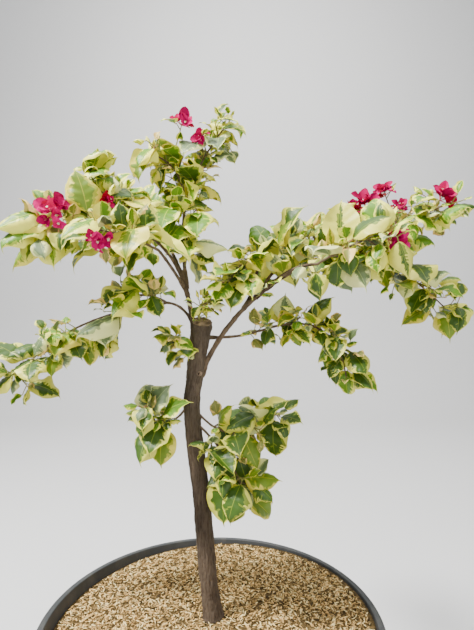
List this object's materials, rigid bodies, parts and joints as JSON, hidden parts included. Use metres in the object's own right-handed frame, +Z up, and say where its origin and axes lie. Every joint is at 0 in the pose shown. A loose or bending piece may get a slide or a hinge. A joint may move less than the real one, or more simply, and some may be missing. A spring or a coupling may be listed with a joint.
{
  "type": "bougainvillea bush in a pot",
  "caption": "Bougainvillea trained on one leaning stem, cream-edged leaves in open sprays with magenta bracts, in a round tapered pot filled with rice husk mulch.",
  "frame": {"origin": "centre of the pot's flat underside", "axes": "+Z straight up, from the pot's underside to the top of the plant; the pictured side faces -Y and its right side is +X"},
  "size_m": [0.8455, 0.56, 1.241],
  "materials": {
    "pot_plastic": "matte",
    "mulch": "matte",
    "bark": "matte",
    "foliage": "satin"
  },
  "bodies": {
    "root": {"pot": "pot_plastic", "mulch": "mulch", "trunk": "bark", "right_bough": "bark", "right_inner_bough": "bark", "right_front_bough": "bark", "right_back_bough": "bark", "lower_right_bough": "bark", "left_bough": "bark", "top_bough": "bark", "left_outer_bough": "bark", "left_front_bough": "bark", "left_back_bough": "bark", "low_left_bough": "bark", "top_right_foliage": "foliage", "top_left_foliage": "foliage", "left_far_foliage": "foliage", "left_upper_foliage": "foliage", "left_front_foliage": "foliage", "left_back_foliage": "foliage", "left_inner_foliage": "foliage", "low_left_outer_foliage": "foliage", "left_edge_foliage": "foliage", "low_left_inner_foliage": "foliage", "right_tip_foliage": "foliage", "right_outer_foliage": "foliage", "right_inner_foliage": "foliage", "right_upper_foliage": "foliage", "right_front_foliage": "foliage", "right_back_foliage": "foliage", "middle_back_foliage": "foliage", "lower_right_foliage": "foliage", "low_left_foliage": "foliage", "low_right_upper_foliage": "foliage", "low_right_lower_foliage": "foliage", "head_foliage": "foliage"}
  },
  "joints": []
}
